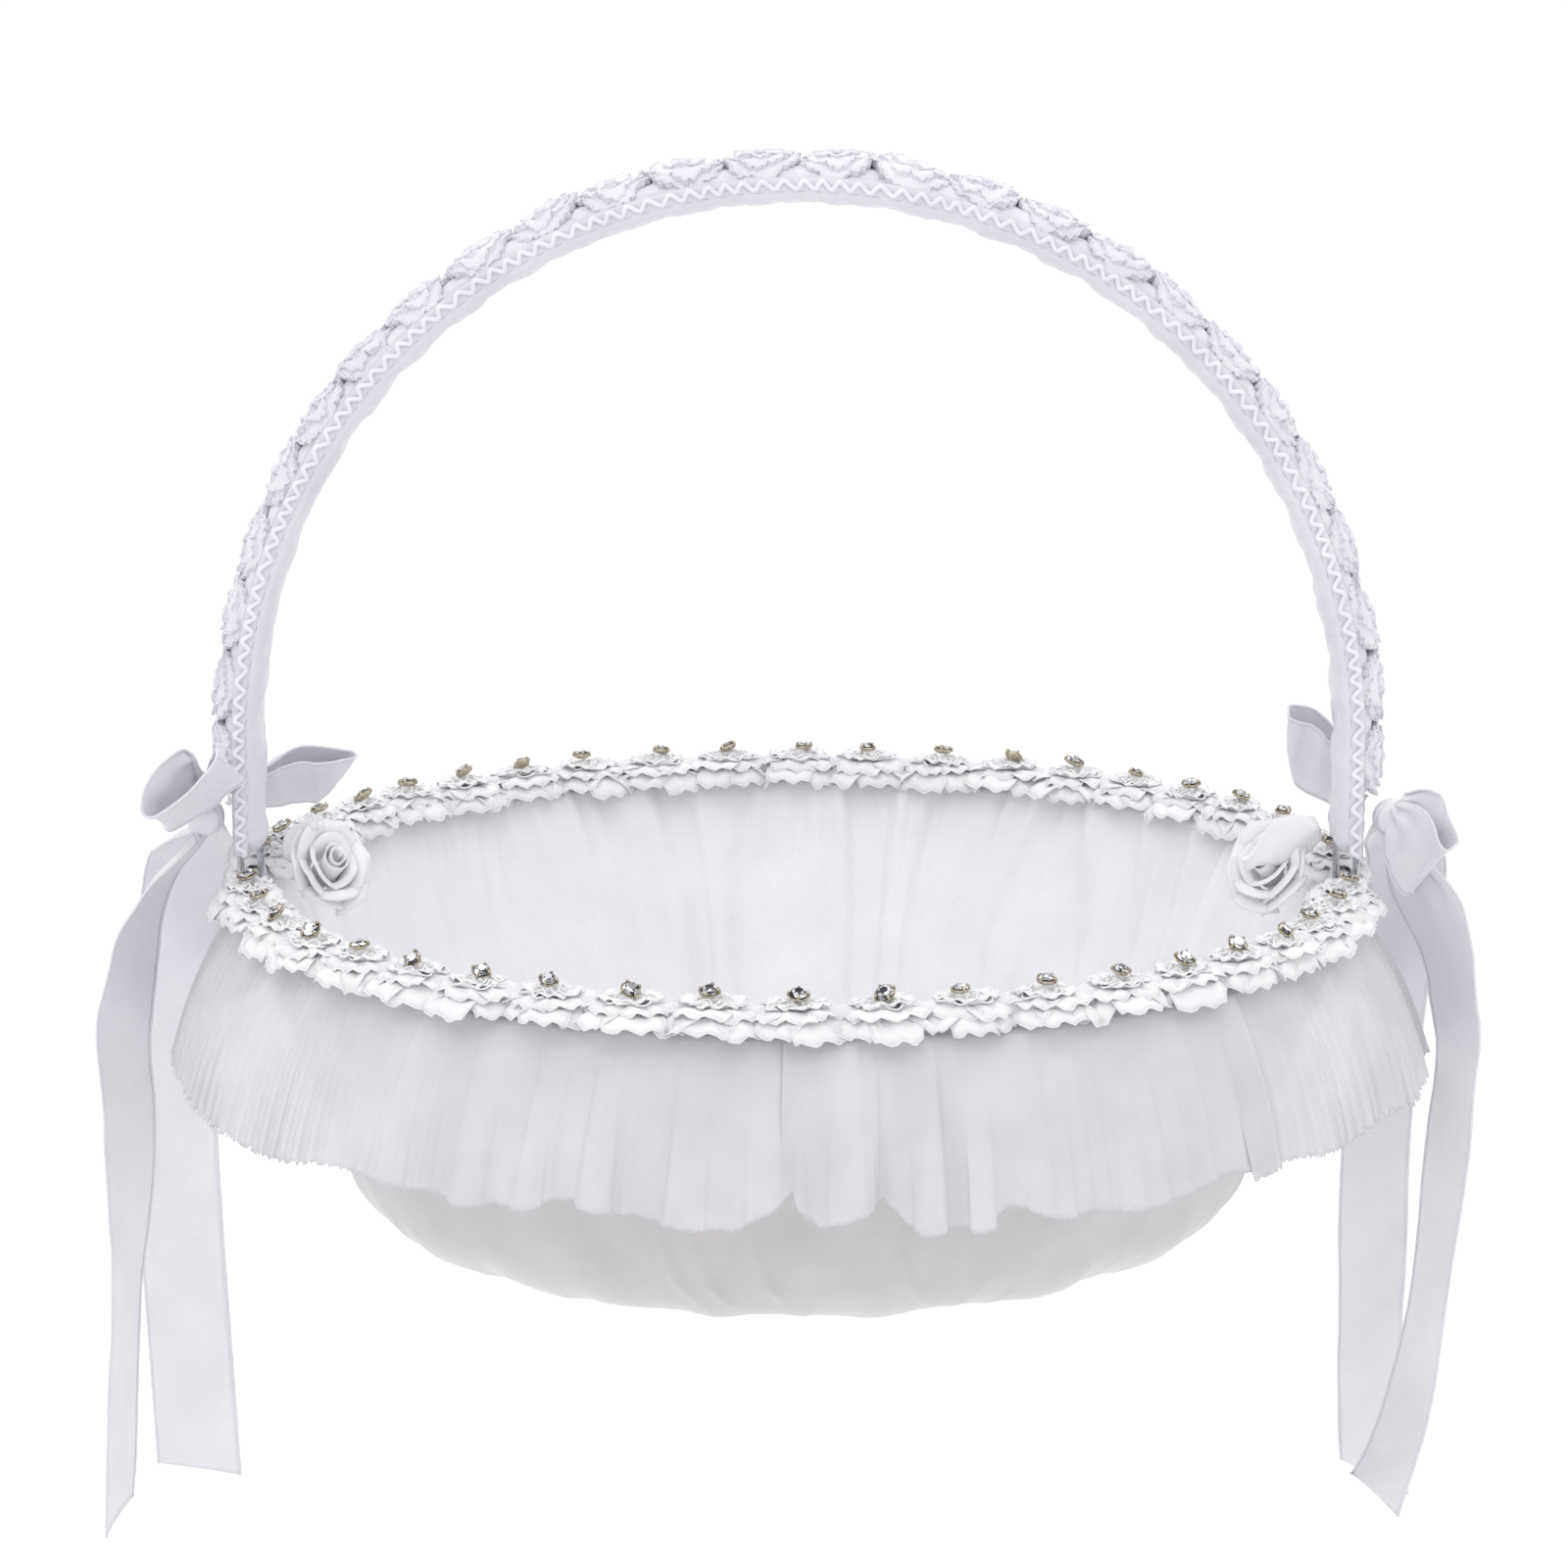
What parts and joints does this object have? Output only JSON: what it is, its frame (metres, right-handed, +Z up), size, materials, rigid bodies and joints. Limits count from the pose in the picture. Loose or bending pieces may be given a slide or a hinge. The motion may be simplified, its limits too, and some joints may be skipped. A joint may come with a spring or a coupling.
{
  "type": "flower girl basket",
  "caption": "Round satin-covered wire basket with a pleated tulle ruffle and a rosette rim, hung from a lace-trimmed arched handle with ribbon bows.",
  "frame": {"origin": "the point where the handle is held: the middle of the handle at its crown", "axes": "+Z up, X from the left bow to the right bow along the handle's arch, Y from front to back"},
  "size_m": [0.287, 0.2568, 0.297],
  "materials": {
    "satin": "white satin, soft sheen",
    "bowl_satin": "white satin over the bowl, in shade",
    "ribbon": "white satin ribbon",
    "lace": "matt white lace and chiffon",
    "tulle": "translucent pleated tulle",
    "padding": "white foam strip",
    "board": "plain card",
    "frame_wire": "white enamelled wire",
    "bare_wire": "zinc-plated wire",
    "rhinestone": "faceted stone in a plated metal cup"
  },
  "bodies": {
    "handle": {"handle_wire": "bare_wire", "handle_padding": "padding", "handle_sleeve": "satin", "sleeve_frill_front": "satin", "sleeve_frill_rear": "satin", "lace_tape": "lace", "lace_flowers": "lace", "left_bow_knot": "ribbon", "left_bow_front_loop": "ribbon", "left_bow_rear_loop": "ribbon", "left_tail_front": "ribbon", "left_tail_rear": "ribbon", "right_bow_knot": "ribbon", "right_bow_front_loop": "ribbon", "right_bow_rear_loop": "ribbon", "right_tail_front": "ribbon", "right_tail_rear": "ribbon"},
    "basket": {"rim_ring": "frame_wire", "mid_hoop": "frame_wire", "base_ring": "frame_wire", "hub_ring": "frame_wire", "base_board": "board", "outer_cover": "bowl_satin", "liner": "satin", "rim_binding": "satin", "tulle_ruffle": "tulle", "rim_rosettes": "lace", "rhinestones": "rhinestone", "rose_left": "satin", "rose_right": "satin", "rib_01": "frame_wire", "rib_02": "frame_wire", "rib_03": "frame_wire", "rib_04": "frame_wire", "rib_05": "frame_wire", "rib_06": "frame_wire", "rib_07": "frame_wire", "rib_08": "frame_wire", "rib_09": "frame_wire", "rib_10": "frame_wire", "rib_11": "frame_wire", "rib_12": "frame_wire", "rib_13": "frame_wire", "rib_14": "frame_wire", "rib_15": "frame_wire", "rib_16": "frame_wire"}
  },
  "joints": [
    {"name": "basket_swing", "type": "hinge", "parent": "handle", "child": "basket", "pos_m": [0, 0, -0.14405], "axis": [1, 0, 0], "range_deg": [-10, 10]}
  ]
}
